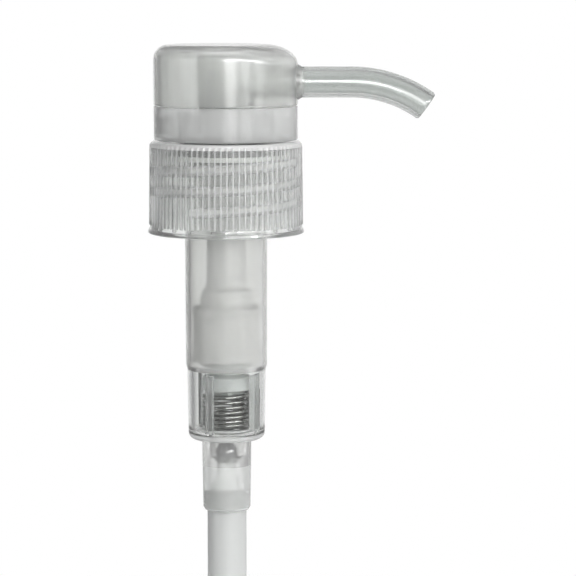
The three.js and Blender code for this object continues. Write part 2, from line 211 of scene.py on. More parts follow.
def rounded_ring(profile):
    """Rounds every corner of a closed profile."""
    middle = tuple((np.array(profile[0][:2]) + np.array(profile[-1][:2])) / 2)
    return rounded([middle, *profile, middle])[:-1]


def fine_rings(radius, top, depth, count, pitch, half):
    """Profile points, downwards, of small rings that stand off a wall by depth."""
    points = []
    for i in range(count):
        level = top - i * pitch
        points += [(radius, level + half), (radius + depth, level, 0.1), (radius, level - half)]
    return points


def combine(base, tool, operation):
    """Joins or cuts base with tool, and removes tool."""
    change = base.modifiers.new("combine", "BOOLEAN")
    change.operation = operation
    change.solver = "EXACT"
    change.object = tool
    bpy.context.view_layer.update()
    evaluated = base.evaluated_get(bpy.context.evaluated_depsgraph_get())
    mesh = bpy.data.meshes.new_from_object(evaluated)
    base.modifiers.clear()
    old = base.data
    base.data = mesh
    bpy.data.meshes.remove(old)
    bpy.data.meshes.remove(tool.data)
    mesh.shade_smooth()
    mesh.set_sharp_from_angle(angle=SMOOTH_ANGLE)


def swept(name, centres, sides, ups, radii, around=96):
    """A round bar along centres, with a radius at each. sides and ups span its sections."""
    angles = ring_angles(around)
    circle = np.stack([np.cos(angles), np.sin(angles)], axis=1)
    points = []
    for centre, side, up, radius in zip(centres, sides, ups, radii):
        points.append(centre + radius * (circle[:, :1] * side + circle[:, 1:] * up))
    count = len(points)
    verts = (np.concatenate(points) * MM).tolist()
    faces = []
    for row in range(count - 1):
        for i in range(around):
            ahead = (i + 1) % around
            low, high = row * around, (row + 1) * around
            faces.append([low + i, low + ahead, high + ahead, high + i])
    faces.append(list(range(around))[::-1])
    faces.append([(count - 1) * around + i for i in range(around)])
    mesh = bpy.data.meshes.new(name)
    mesh.from_pydata(verts, [], faces)
    return new_object(name, mesh)


def smoothstep(value, low, high):
    """0 below low, 1 above high, with a smooth change between."""
    t = np.clip((value - low) / (high - low), 0, 1)
    return t * t * (3 - 2 * t)


def ridge(distance, crest, foot):
    """Height from 0 to 1 of a ridge with sloping sides: 1 within crest, 0 beyond foot."""
    return 1 - smoothstep(np.abs(distance), crest, foot)


def thread(height, angle, start, end, pitch, depth, crest, foot, zero_angle=0.0):
    """How far a helical ridge stands off a wall, with a run-in and a run-out. It starts at
    the height start and the angle zero_angle, and ends at the height end."""
    turn = (angle - zero_angle) / FULL_TURN % 1.0
    level = start + pitch * turn
    nearest = np.round((height - level) / pitch)
    travelled = nearest + turn
    total = (end - start) / pitch
    run = 0.05
    begun = smoothstep(travelled, -run, run)
    ended = smoothstep(travelled, total - run, total + run)
    return depth * begun * (1 - ended) * ridge(height - level - nearest * pitch, crest, foot)


# ---------------------------------------------------------------- materials


class Nodes:
    """A short way to wire a material's nodes."""

    def __init__(self, name):
        self.material = bpy.data.materials.new(name)
        self.material.use_nodes = True
        self.tree = self.material.node_tree
        self.shader = self.tree.nodes["Principled BSDF"]

    def add(self, kind, **settings):
        node = self.tree.nodes.new(kind)
        for key, value in settings.items():
            setattr(node, key, value)
        return node

    def link(self, output, target):
        self.tree.links.new(output, target)

    def place(self, stretch=(1, 1, 1)):
        """Object coordinates, stretched along the axes."""
        coordinates = self.add("ShaderNodeTexCoord")
        mapping = self.add("ShaderNodeMapping")
        mapping.inputs["Scale"].default_value = stretch
        self.link(coordinates.outputs["Object"], mapping.inputs["Vector"])
        return mapping.outputs["Vector"]

    def noise(self, scale, detail=3.0, roughness=0.5, stretch=(1, 1, 1)):
        node = self.add("ShaderNodeTexNoise")
        node.inputs["Scale"].default_value = scale
        node.inputs["Detail"].default_value = detail
        node.inputs["Roughness"].default_value = roughness
        self.link(self.place(stretch), node.inputs["Vector"])
        return node.outputs["Fac"]

    def span(self, value, low, high, from_low=0.3, from_high=0.7):
        node = self.add("ShaderNodeMapRange")
        node.inputs["From Min"].default_value = from_low
        node.inputs["From Max"].default_value = from_high
        node.inputs["To Min"].default_value = low
        node.inputs["To Max"].default_value = high
        self.link(value, node.inputs["Value"])
        return node.outputs["Result"]

    def tint(self, value, low, high):
        """A colour between two, chosen by value."""
        ramp = self.add("ShaderNodeValToRGB")
        ramp.color_ramp.elements[0].position = 0.3
        ramp.color_ramp.elements[1].position = 0.7
        ramp.color_ramp.elements[0].color = (*low, 1)
        ramp.color_ramp.elements[1].color = (*high, 1)
        self.link(value, ramp.inputs["Fac"])
        return ramp.outputs["Color"]

    def bump(self, value, depth, strength=1.0):
        node = self.add("ShaderNodeBump")
        node.inputs["Strength"].default_value = strength
        node.inputs["Distance"].default_value = depth
        self.link(value, node.inputs["Height"])
        self.link(node.outputs["Normal"], self.shader.inputs["Normal"])

    def colour(self, value, low, high):
        self.link(self.tint(value, low, high), self.shader.inputs["Base Color"])

    def roughness(self, value, low, high):
        self.link(self.span(value, low, high), self.shader.inputs["Roughness"])

    def set(self, **sockets):
        for key, value in sockets.items():
            self.shader.inputs[key.replace("_", " ")].default_value = value


def plastic(name, low, high, haze, clearness, skin, flow=(1, 1, 0.25), relief=1e-6, depth=0.003):
    """Moulded polyolefin: haze is the (least, most) blur of what is behind it, clearness the
    share of light let straight through, the rest being scattered inside it to a depth, and
    skin the (weight, roughness) of its gloss."""
    nodes = Nodes(name)
    flow_lines = nodes.noise(260, 4, 0.55, flow)
    handling = nodes.noise(2600, 2, 0.6, (1, 0.35, 1))
    nodes.colour(flow_lines, low, high)
    nodes.roughness(flow_lines, *haze)
    nodes.bump(handling, relief, 0.5)
    nodes.set(Transmission_Weight=clearness, IOR=1.49)
    nodes.set(Subsurface_Weight=1.0, Subsurface_Radius=(1.0, 1.0, 1.0), Subsurface_Scale=depth)
    nodes.set(Coat_Weight=skin[0], Coat_Roughness=skin[1], Coat_IOR=1.49)
    return nodes.material


def clear_plastic():
    """The spring well."""
    low, high = (0.945, 0.958, 0.95), (0.975, 0.984, 0.978)
    return plastic("clear_polypropylene", low, high, (0.01, 0.03), 0.985, (0.1, 0.05), relief=5e-7)


def spout_plastic():
    """The spout: the button's plastic, with its flow lines along the spout, coloured darker than the
    button as painted shade.
    """
    # Darker than the button's own plastic: painted shade on the spout.
    low, high = (0.65, 0.675, 0.66), (0.78, 0.80, 0.785)
    return plastic("spout_polypropylene_painted_shade", low, high, (0.02, 0.04), 0.94, (0.3, 0.06), (0.1, 1, 1))


def barrel_plastic():
    """The pump's barrel, grained a little more than its foot."""
    low, high = (0.92, 0.93, 0.91), (0.97, 0.975, 0.96)
    return plastic("barrel_polypropylene", low, high, (0.02, 0.05), 0.88, (0.2, 0.08), (1, 1, 0.08))


def thick_clear_plastic():
    """The clear plastic where a thick wall turns it milky."""
    low, high = (0.87, 0.89, 0.875), (0.925, 0.94, 0.925)
    return plastic("clear_polypropylene_thick", low, high, (0.08, 0.14), 0.70, (0.3, 0.1))


def hazy_plastic():
    """The button: a grained clear plastic with flow lines in it."""
    low, high = (0.80, 0.82, 0.80), (0.94, 0.95, 0.93)
    return plastic("hazy_polypropylene", low, high, (0.03, 0.06), 0.81, (0.3, 0.1), (1, 1, 0.06))


def collar_plastic():
    """The collar: clear, over the white edge of the cap's hole and the sleeves inside it."""
    low, high = (0.94, 0.96, 0.945), (0.98, 0.99, 0.98)
    return plastic("collar_polypropylene", low, high, (0.02, 0.05), 0.70, (0.3, 0.1), (1, 1, 0.06))


def frosted_plastic():
    """The cap's wall."""
    low, high = (0.93, 0.945, 0.935), (0.965, 0.98, 0.97)
    return plastic("frosted_polypropylene", low, high, (0.06, 0.10), 0.93, (0.3, 0.1))


def thick_frosted_plastic():
    """The frosted plastic where it is thick enough to look milky."""
    low, high = (0.93, 0.945, 0.935), (0.97, 0.985, 0.975)
    return plastic("frosted_polypropylene_thick", low, high, (0.10, 0.15), 0.5, (0.5, 0.1), depth=0.001)


def rib_plastic():
    """The frosted plastic at the cap's ribs, between its wall and its thread in thickness."""
    low, high = (0.92, 0.935, 0.925), (0.96, 0.975, 0.965)
    return plastic("frosted_polypropylene_rib", low, high, (0.05, 0.08), 0.70, (0.3, 0.1), depth=0.001)


def milky_plastic():
    """The stem, the piston and the ball cage."""
    low, high = (0.96, 0.965, 0.945), (0.985, 0.985, 0.97)
    return plastic("milky_polyethylene", low, high, (0.2, 0.28), 0.15, (0.5, 0.12), depth=0.0007)


def seat_plastic():
    """The plug under the piston: the milky plastic, coloured grey as painted shade."""
    # The grey colour of the whole plug is painted shade, not a grey plastic.
    low, high = (0.66, 0.68, 0.665), (0.73, 0.75, 0.735)
    return plastic("milky_polyethylene_painted_shade", low, high, (0.2, 0.28), 0.15, (0.5, 0.12), depth=0.0007)


def tube_plastic():
    """The dip tube, with faint lines of extrusion along it."""
    low, high = (0.71, 0.725, 0.715), (0.77, 0.785, 0.775)
    return plastic("tube_polyethylene", low, high, (0.35, 0.45), 0.4, (0.3, 0.25), (1, 1, 0.02))


def soft_seal():
    """Closed-cell foam or soft elastomer, with fine pores."""
    nodes = Nodes("soft_seal_foam")
    pores = nodes.noise(5200, 2, 0.5)
    nodes.colour(pores, (0.74, 0.75, 0.73), (0.86, 0.87, 0.85))
    nodes.roughness(pores, 0.6, 0.8)
    nodes.bump(pores, 2e-5, 0.6)
    return nodes.material


def spring_steel():
    """Drawn stainless wire with die lines and slight staining, coloured far darker than bare steel as
    painted shade.
    """
    nodes = Nodes("drawn_stainless_wire_painted_shade")
    lines = nodes.noise(1500, 3, 0.6)
    stain = nodes.noise(420, 3, 0.55)
    # The wire's colour is painted shade: far darker than bare steel, so that it looks dark between its
    # highlights. The staining only varies it.
    nodes.colour(stain, (0.18, 0.183, 0.175), (0.31, 0.313, 0.30))
    nodes.roughness(lines, 0.05, 0.10)
    nodes.bump(lines, 4e-6, 0.4)
    nodes.set(Metallic=1.0)
    return nodes.material


def ball_steel():
    """A polished stainless ball with faint wear, coloured far darker than bare steel as painted shade.
    """
    nodes = Nodes("polished_stainless_ball_painted_shade")
    wear = nodes.noise(900, 4, 0.6)
    # The ball's colour is painted shade, far darker than bare steel. The wear only varies it.
    nodes.colour(wear, (0.13, 0.13, 0.135), (0.22, 0.22, 0.225))
    nodes.roughness(wear, 0.08, 0.2)
    nodes.set(Metallic=1.0)
    return nodes.material


def ball_glass():
    """A polished glass ball."""
    nodes = Nodes("polished_glass_ball")
    wear = nodes.noise(1200, 3, 0.6)
    nodes.colour(wear, (0.84, 0.9, 0.88), (0.92, 0.95, 0.94))
    nodes.roughness(wear, 0.02, 0.08)
    nodes.set(Transmission_Weight=0.95, IOR=1.52)
    return nodes.material


CLEAR = clear_plastic()
SPOUT = spout_plastic()
BARREL = barrel_plastic()
THICK_CLEAR = thick_clear_plastic()
COLLAR = collar_plastic()
HAZY = hazy_plastic()
FROSTED = frosted_plastic()
THICK_FROSTED = thick_frosted_plastic()
RIB_FROSTED = rib_plastic()
MILKY = milky_plastic()
SEAT = seat_plastic()
TUBE = tube_plastic()
SEAL = soft_seal()
WIRE = spring_steel()
STEEL = ball_steel()
GLASS = ball_glass()


def finish_piece(piece, node, body, material):
    """Puts a piece in its CAD node's place."""
    piece.data.materials.clear()
    piece.data.materials.append(material)
    if body is not None:
        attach(piece, body)
    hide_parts(node)


def recolour(piece, material, is_here):
    """Gives another material to the faces whose middles, in millimetres, pass the test."""
    piece.data.materials.append(material)
    index = len(piece.data.materials) - 1
    for face in piece.data.polygons:
        if is_here(*(face.center / MM)):
            face.material_index = index


# ---------------------------------------------------------------- actuator head

HEAD_RADIUS = collar_high.x  # the button and the collar have one outer radius
HEAD_TOP = head_high.z
HEAD_SEAM = collar_high.z + 0.15
WALL = 1.45
LOCK_PITCH = 2.4
CLOSURE_HOLE = 8.95  # radius of the cap's hole, and of the parts that pass through it
STEM_RADIUS = stem_high.x

SPOUT_LEVEL = 15.8
SPOUT_RADIUS = 3.2
SPOUT_BORE = 2.25
SPOUT_FLARE = 0.9  # how far the spout grows where it meets the button
SPOUT_LIP = 0.22  # rounding of the spout's end
SPOUT_BEND_START = 25.9
SPOUT_BEND_RADIUS = 26.5
SPOUT_DROOP = math.radians(35.9)


def dome_rows(radius, top, corner, front_wide, front_high, angles, crown):
    """Rows of the button's top, from near its centre to the lower end of its corner. The
    corner grows wider and lower towards the spout."""
    front = smoothstep(np.cos(angles), 0.1, 0.9)
    wide = corner + (front_wide - corner) * front
    high = corner + (front_high - corner) * front
    steps = 16
    grid = []
    for share in (0.03, 0.25, 0.5, 0.75, 0.95, 0.995):
        reach = (radius - wide) * share
        grid.append(np.stack([reach, top - crown * (reach / radius) ** 2], axis=1))
    for i in range(steps + 1):
        turn = math.pi / 2 * (1 - i / steps)
        reach = radius - wide + wide * math.cos(turn)
        level = top - high + high * math.sin(turn) - crown * (reach / radius) ** 2
        grid.append(np.stack([reach, level], axis=1))
    return np.array(grid)


def spout_line(start, past=0.0):
    """Centres and section directions along the spout, and the distance along it."""
    centres = []
    slopes = []
    for x in np.linspace(start, SPOUT_BEND_START, 30):
        centres.append((x, 0, SPOUT_LEVEL))
        slopes.append(0.0)
    bend = 36
    for i in range(1, bend + 1):
        slope = SPOUT_DROOP * i / bend
        centres.append((
            SPOUT_BEND_START + SPOUT_BEND_RADIUS * math.sin(slope),
            0,
            SPOUT_LEVEL - SPOUT_BEND_RADIUS * (1 - math.cos(slope)),
        ))
        slopes.append(slope)
    if past:
        last = np.array(centres[-1])
        onwards = np.array([math.cos(SPOUT_DROOP), 0, -math.sin(SPOUT_DROOP)])
        centres.append(tuple(last + past * onwards))
        slopes.append(SPOUT_DROOP)
    centres = np.array(centres)
    slopes = np.array(slopes)
    ups = np.stack([np.sin(slopes), np.zeros(len(slopes)), np.cos(slopes)], axis=1)
    sides = np.tile([0.0, 1.0, 0.0], (len(slopes), 1))
    run = np.concatenate([[0], np.cumsum(np.linalg.norm(np.diff(centres, axis=0), axis=1))])
    return centres, sides, ups, run


def spout_bar():
    """The spout's outside, flared a little where it leaves the button, with a soft lip."""
    start = 4.9  # inside the wall of the button's post
    centres, sides, ups, run = spout_line(start)
    flare, lip = SPOUT_FLARE, SPOUT_LIP
    into = np.clip(centres[:, 0] - HEAD_RADIUS, 0, flare)
    radii = SPOUT_RADIUS + flare - np.sqrt(flare ** 2 - (flare - into) ** 2)
    radii[centres[:, 0] < HEAD_RADIUS] = SPOUT_RADIUS + flare * 0.6
    left = run[-1] - run
    radii = radii - lip + np.sqrt(np.clip(lip ** 2 - np.clip(lip - left, 0, lip) ** 2, 0, None))
    return swept("spout", centres, sides, ups, radii)


def spout_bore():
    """The passage through the spout, opening a little at its mouth."""
    past_end, mouth = 1.0, 0.6
    centres, sides, ups, run = spout_line(0.0, past_end)
    radii = np.full(len(run), SPOUT_BORE)
    radii[-1] += mouth
    return swept("bore", centres, sides, ups, radii)


def make_head():
    """The clear button: dome, centre post with the lock thread, and the spout."""
    angles = ring_angles(192)
    crown = 0.12
    corner, front_wide, front_high = 3.0, 6.8, 4.1
    radius = HEAD_RADIUS
    top = HEAD_TOP
    post, lock = 5.9, 5.6  # radii of the post, above and along its thread
    edge_top = 14.0
    lock_from, lock_to = 8.0, 1.6
    post_end = head_low.z
    socket = STEM_RADIUS + 0.15
    socket_top = stem_high.z + 0.3
    chamber, chamber_top = 2.9, 18.3
    pin, pin_end = 0.8, 15.6

    outer = dome_rows(radius, top, corner, front_wide, front_high, angles, crown)
    edge = rounded([
        (radius, edge_top),
        (radius, HEAD_SEAM, 0.2),
        (radius - WALL, HEAD_SEAM, 0.2),
        (radius - WALL, edge_top),
    ])
    inner = dome_rows(
        radius - WALL, top - WALL, corner - WALL, front_wide - WALL, front_high - WALL, angles, crown
    )[::-1]
    inner = inner[inner[:, :, 0].min(axis=1) > post + 0.9]

    def lock_thread(r, z, a):
        stand = thread(z, a, start=3.0, end=6.6, pitch=LOCK_PITCH, depth=0.45, crest=0.2, foot=0.6)
        return r + stand, z

    roof = top - WALL
    outside = rounded([
        (post + 0.8, roof - 0.02),
        (post, roof - 0.02, 0.5),
        (post, HEAD_SEAM + 0.3, 0.1),
        (lock, HEAD_SEAM, 0.1),
        (lock, lock_from),
    ])
    ridge_run = rows(line((lock, lock_from), (lock, lock_to), 64), angles, lock_thread)
    inside = rounded([
        (lock, lock_to - 0.1),
        (lock, post_end, 0.25),
        (socket, post_end, 0.3),
        (socket, socket_top, 0.15),
        (chamber, socket_top, 0.1),
        (chamber, chamber_top, 0.3),
        (pin, chamber_top, 0.15),
        (pin, pin_end, 0.2),
        (LEAST_RADIUS, pin_end),
    ])
    grid = np.concatenate([
        outer,
        rows(edge, angles),
        inner,
        rows(outside, angles),
        ridge_run,
        rows(inside, angles),
    ])
    name = "actuator_head_clear"
    head = new_object(name, turned_mesh(name, grid, angles, closed=False))
    combine(head, spout_bar(), "UNION")
    combine(head, spout_bore(), "DIFFERENCE")
    finish_piece(head, "actuator_head", "head", HAZY)
    # The spout's faces get the darker copy of the button's plastic, which is painted shade.
    recolour(head, SPOUT, lambda x, y, z: x > HEAD_RADIUS + SPOUT_FLARE)


# ---------------------------------------------------------------- lock collar and seal


def make_collar():
    """The clear collar: outer wall, snap sleeve on the housing and threaded lock sleeve."""
    angles = ring_angles(192)
    foot, top = collar_low.z, collar_high.z
    outer = HEAD_RADIUS
    skirt = 4.0
    lock = 6.2
    inner_wall = 10.1
    roof = 9.7
    thread_from, thread_to = 9.2, -0.4

    def groove(r, z, a):
        cut = thread(z, a, start=1.2, end=7.8, pitch=LOCK_PITCH, depth=0.4, crest=0.3, foot=0.7)
        return r + cut, z

    first = rounded([
        (CLOSURE_HOLE, 6.0),
        (CLOSURE_HOLE, skirt, 0.15),
        (outer, skirt, 0.25),
        (outer, top, 0.2),
        (outer - WALL, top, 0.2),
        (outer - WALL, 8.9),
        *fine_rings(outer - WALL, 8.6, -0.12, 5, 0.74, 0.3),
        (outer - WALL, skirt + 1.2, 0.4),
        (inner_wall, skirt + 1.2, 0.4),
        (inner_wall, roof, 0.25),
        (lock, roof, 0.25),
        (lock, thread_from),
    ])
    sleeve = rows(line((lock, thread_from), (lock, thread_to), 110), angles, groove)
    last = rounded([
        (lock, thread_to - 0.1),
        (lock, -1.0, 0.1),
        (4.9, -1.0, 0.1),
        (4.9, foot, 0.1),
        (7.1, foot, 0.25),
        (7.1, roof - 1.0, 0.15),
        (CLOSURE_HOLE, roof - 1.0, 0.15),
        (CLOSURE_HOLE, 6.1),
    ])
    grid = np.concatenate([rows(first, angles), sleeve, rows(last, angles)])
    collar = new_object("lock_collar_clear", turned_mesh("lock_collar_clear", grid, angles))
    finish_piece(collar, "lock_collar", "housing", COLLAR)


def make_seal():
    """The soft ring that wipes the stem."""
    low, high = seal_low.z, seal_high.z
    inner, outer = 4.25, 5.2
    lip, shoulder = 4.8, -2.3
    profile = [
        (inner, low, 0.1),
        (outer, low, 0.2),
        (outer, shoulder, 0.1),
        (lip, shoulder, 0.1),
        (lip, high, 0.15),
        (inner, high - 0.4, 0.1),
    ]
    finish_piece(turned("lock_seal_ring", profile, 96), "lock_seal", "housing", SEAL)


# ---------------------------------------------------------------- screw closure and gasket


def make_closure():
    """The ribbed cap. Its ribs, inside thread and rim lugs are part of one turned surface."""
    rib_count = 80
    lug_count = 20
    angles = ring_angles(rib_count * 8)
    rim, top = closure_low.z, closure_high.z
    body, rib = 15.56, 0.23
    bore = 13.95
    bore_top = 2.45
    hole = CLOSURE_HOLE
    pitch = 4.233  # six threads per inch
    thread_start, thread_turns = -10.1, 2.25
    run_in = math.radians(-110)
    depth = 1.2
    thread_crest, thread_foot = 0.45, 1.12
    flare_low, flare_high = -14.35, -13.7
    rib_top = 3.45
    draft = 0.22  # how much wider the body is at its rim
    rib_crest, rib_foot = 0.06, 0.42
    milky_from = 0.19  # how far from the body a rib starts to look milky
    flare_radius, rim_radius = 16.05, 16.25
    lug = 0.36
    thread_low, thread_high = -13.6, bore_top - 0.5

    def ribs(r, z, a):
        step = FULL_TURN / rib_count
        wave = ridge(((a / step) % 1 - 0.5) * step * body, rib_crest, rib_foot)
        below_top = 1 - smoothstep(z, rib_top - 0.5, rib_top)
        fade = smoothstep(z, flare_high, flare_high + 0.35) * below_top
        return r + draft * (rib_top - z) / (rib_top - rim) + rib * wave * fade, z

    def inside_thread(r, z, a):
        end = thread_start + thread_turns * pitch
        return r - thread(z, a, thread_start, end, pitch, depth, thread_crest, thread_foot, run_in), z

    def lugs(r, z, a):
        step = FULL_TURN / lug_count
        across = ((a / step) % 1 - 0.5) * step * bore
        return r - lug * ridge(across, 0.25, 0.45) * (1 - smoothstep(z, -14.15, -13.85)), z

    shoulder = (body, rib_top - 0.3)
    above_flare = (body, flare_high + 0.4)
    upper = rounded([
        (hole, 3.0),
        (hole, top, 0.2),
        (body - 0.35, top, 0.3),
        (body, top - 0.4, 0.2),
        shoulder,
    ])
    wall = [shoulder] + line(shoulder, (body, rib_top - 0.9), 6)
    wall += line(wall[-1], above_flare, 10)
    wall += line(above_flare, (body, flare_high), 5)
    foot = rounded([
        (body, flare_high - 0.05),
        (body, flare_low, 0.2),
        (flare_radius - draft, flare_low - 0.1, 0.2),
        (rim_radius - draft, rim, 0.25),
        (bore + 0.3, rim, 0.2),
        (bore, rim + 0.35, 0.2),
        (bore, rim + 0.9),
    ])
    low_bore = line((bore, rim + 0.9), (bore, thread_low), 8)
    threaded = line((bore, thread_low), (bore, thread_high), 150)
    ceiling = rounded([
        (bore, bore_top - 0.45),
        (bore, bore_top, 0.3),
        (hole, bore_top, 0.15),
        (hole, 2.9),
    ])

    def widen_rim(r, z, a):
        return r + draft * (z < flare_high) * (r > bore + 1), z

    grid = np.concatenate([
        rows(upper, angles),
        rows(wall, angles, ribs),
        rows(foot, angles, widen_rim),
        rows(low_bore, angles, lugs),
        rows(threaded, angles, inside_thread),
        rows(ceiling, angles),
    ])
    name = "screw_closure_ribbed"
    closure = new_object(name, turned_mesh(name, grid, angles))
    finish_piece(closure, "screw_closure", "closure", FROSTED)

    def is_thick(x, y, z):
        on_thread = math.hypot(x, y) < bore - 0.15 and -13 < z < bore_top - 0.6
        return on_thread or z > bore_top + 0.1

    def is_rib(x, y, z):
        valley = body + draft * (rib_top - z) / (rib_top - rim)
        return math.hypot(x, y) > valley + milky_from and flare_high < z <= bore_top + 0.1

    recolour(closure, THICK_FROSTED, is_thick)
    recolour(closure, RIB_FROSTED, is_rib)


def make_gasket():
    """The flat foam washer."""
    low, high = gasket_low.z, gasket_high.z
    inner, outer = CLOSURE_HOLE, gasket_high.x
    profile = [(inner, low, 0.15), (outer, low, 0.15), (outer, high, 0.15), (inner, high, 0.15)]
    finish_piece(turned("neck_gasket_foam", profile), "neck_gasket", "housing", SEAL)


# ---------------------------------------------------------------- housing, cage and tube


def make_housing():
    """The clear barrel with its snap rings, flange, step, inside ribs and tube socket."""
    angles = ring_angles(360)
    top, end = housing_high.z, housing_low.z
    step = -42.9
    floor = -57.3
    outer, bore = 8.6, 7.35
    step_bore, well_outer = 6.9, 8.19  # radii of the spring well
    flange, flange_low, flange_high = 12.5, 1.0, 2.2
    socket, socket_top = 4.25, -69.4
    chamber = 2.75  # radius of the foot valve's chamber
    milky_below = -64
    rib_inner = 5.55
    rib_top = -44.4
    rib_middle, rib_crest, rib_foot = 6.2, 0.52, 0.68  # middle radius, half widths
    rib_angles = [math.radians(d) for d in (-120, -30, 60, 150)]

    rings = fine_rings(outer, 7.4, 0.15, 5, 0.78, 0.28)
    shell = rounded([
        (bore, 5.0),
        (bore, top, 0.3),
        (outer, top, 0.3),
        *rings,
        (outer, flange_high, 0.2),
        (flange, flange_high, 0.2),
        (flange, flange_low, 0.15),
        (outer, flange_low, 0.3),
        (outer - 0.13, step, 0.3),
        (well_outer, step - 1.0, 0.3),
        (well_outer - 0.21, floor - 1.3, 2.3),
        (5.17, floor - 1.3, 0.3),
        (5.11, milky_below - 0.2),
        (4.96, end + 0.6, 0.15),
        (4.6, end, 0.1),
        (socket, end, 0.1),
        (socket, socket_top, 0.2),
        (2.6, socket_top, 0.2),
        (1.5, -65.5, 0.2),
        (1.5, -63.6, 0.2),
        (chamber, -62.0, 0.3),
        (chamber, floor, 0.2),
        (5.8, floor, 0.2),
        (6.2, floor + 0.1),
    ])
    corner = [(6.3, floor + 0.15), (6.6, floor + 0.5), (6.83, floor + 1.0), (6.86, floor + 1.6)]
    below_rib_top = (step_bore, rib_top - 1.2)
    well = corner + line(corner[-1], below_rib_top, 12)
    well += line(below_rib_top, (step_bore, rib_top + 0.2), 8)

    def inside_ribs(r, z, a):
        stand = np.zeros_like(r)
        for at in rib_angles:
            off = (a - at + math.pi) % FULL_TURN - math.pi
            stand = np.maximum(stand, ridge(off * rib_middle, rib_crest, rib_foot))
        fade = 1 - smoothstep(z, rib_top - 0.5, rib_top)
        return r - (r - rib_inner) * stand * fade, z

    last = rounded([
        (step_bore, rib_top + 0.3),
        (step_bore, step - 1.0, 0.2),
        (bore, step, 0.2),
        (bore, 4.9),
    ])
    grid = np.concatenate([rows(shell, angles), rows(well, angles, inside_ribs), rows(last, angles)])
    name = "pump_housing_clear"
    housing = new_object(name, turned_mesh(name, grid, angles))
    finish_piece(housing, "pump_housing", "housing", CLEAR)

    def is_barrel(x, y, z):
        return z > step - 1.0 or z < floor - 1.6

    def is_thick(x, y, z):
        socket_or_floor = z < milky_below or floor - 1.6 <= z < floor + 0.3
        inside_rib = math.hypot(x, y) < step_bore - 0.15 and floor + 0.8 < z < rib_top
        return socket_or_floor or inside_rib

    recolour(housing, BARREL, is_barrel)
    recolour(housing, THICK_CLEAR, is_thick)


def make_cage():
    """The slotted washer under the spring."""
    low, high = cage_low.z, cage_high.z
    hole, outer = 1.3, 5.35
    profile = [(hole, low, 0.1), (outer, low, 0.15), (outer, high, 0.15), (hole, high, 0.1)]
    cage = turned("ball_cage_slotted", profile, 96)
    slots, slot_reach, slot_radius = 4, 2.9, 0.8
    for i in range(slots):
        turn = FULL_TURN * (i + 0.5) / slots
        centre = np.array([slot_reach * math.cos(turn), slot_reach * math.sin(turn), 0])
        heights = (low - 1, high + 1)
        centres = [centre + np.array([0, 0, z]) for z in heights]
        sides = [np.array([1.0, 0, 0])] * 2
        ups = [np.array([0, 1.0, 0])] * 2
        slot = swept("slot", centres, sides, ups, [slot_radius] * 2, 24)
        combine(cage, slot, "DIFFERENCE")
    finish_piece(cage, "ball_cage", "housing", MILKY)


def make_tube():
    """The suction tube, with its foot cut on a slant."""
    angles = ring_angles(96)
    low, high = tube_low.z, tube_high.z
    outer, bore = tube_high.x, 3.2
    slope = math.tan(math.radians(30))

    def slant(r, z, a):
        cut = low + (outer - r * np.cos(a)) * slope
        return r, np.maximum(z, cut + (z - low))

    foot = rounded([(bore, low + 2.0), (bore, low, 0.08), (outer, low, 0.08), (outer, low + 2.0)])
    head = rounded([(outer, high - 2.0), (outer, high, 0.15), (bore, high, 0.15), (bore, high - 2.0)])
    above_cut, below_top = low + 8.0, high - 4.0
    middle = rows(line((outer, above_cut), (outer, below_top), 6), angles)
    back = rows(line((bore, below_top), (bore, above_cut), 6), angles)
    grid = np.concatenate([rows(foot, angles, slant), middle, rows(head, angles), back])
    tube = new_object("dip_tube_cut", turned_mesh("dip_tube_cut", grid, angles))
    finish_piece(tube, "dip_tube", "housing", TUBE)


# ---------------------------------------------------------------- plunger


def make_stem():
    """The hollow rod with the delivery valve's seat on top."""
    low, high = stem_low.z, stem_high.z
    radius, bore = STEM_RADIUS, 2.9
    chamber, throat = 2.5, 1.3
    profile = [
        (radius, low, 0.2),
        (radius, high, 0.25),
        (chamber, high, 0.2),
        (chamber, 11.5, 0.2),
        (throat, 10.4, 0.15),
        (throat, 9.6, 0.2),
        (bore, 8.6, 0.3),
        (bore, low, 0.15),
    ]
    finish_piece(turned("stem_rod", profile, 96), "stem", "head", MILKY)


def make_piston():
    """The sliding seal with its two lips."""
    bore = STEM_RADIUS + 0.12
    lip, body, sleeve = piston_high.x, 6.9, 5.6
    top, low = piston_high.z, piston_low.z
    upper_lip, sleeve_end = -30.8, -41.9
    grooves = []
    for level in (-34.75, -37.55):
        grooves += [(body, level + 0.15, 0.1), (6.6, level, 0.1), (body, level - 0.15, 0.1)]
    profile = [
        (bore, top, 0.15),
        (4.9, top, 0.25),
        (5.54, -29.4, 0.4),
        (sleeve, upper_lip - 2.0, 0.3),
        (6.6, upper_lip - 2.0, 0.3),
        (6.8, upper_lip, 0.1),
        (lip, upper_lip, 0.12),
        (lip, upper_lip - 0.8, 0.2),
        (body, upper_lip - 1.6, 0.3),
        *grooves,
        (body, low + 1.6, 0.3),
        (lip, low + 0.8, 0.2),
        (lip, low, 0.12),
        (6.8, low, 0.1),
        (6.5, low + 3.0, 0.3),
        (sleeve, low + 3.0, 0.3),
        (5.5, sleeve_end, 0.15),
        (bore, sleeve_end, 0.1),
    ]
    finish_piece(turned("piston_seal", profile), "piston", "plunger", MILKY)


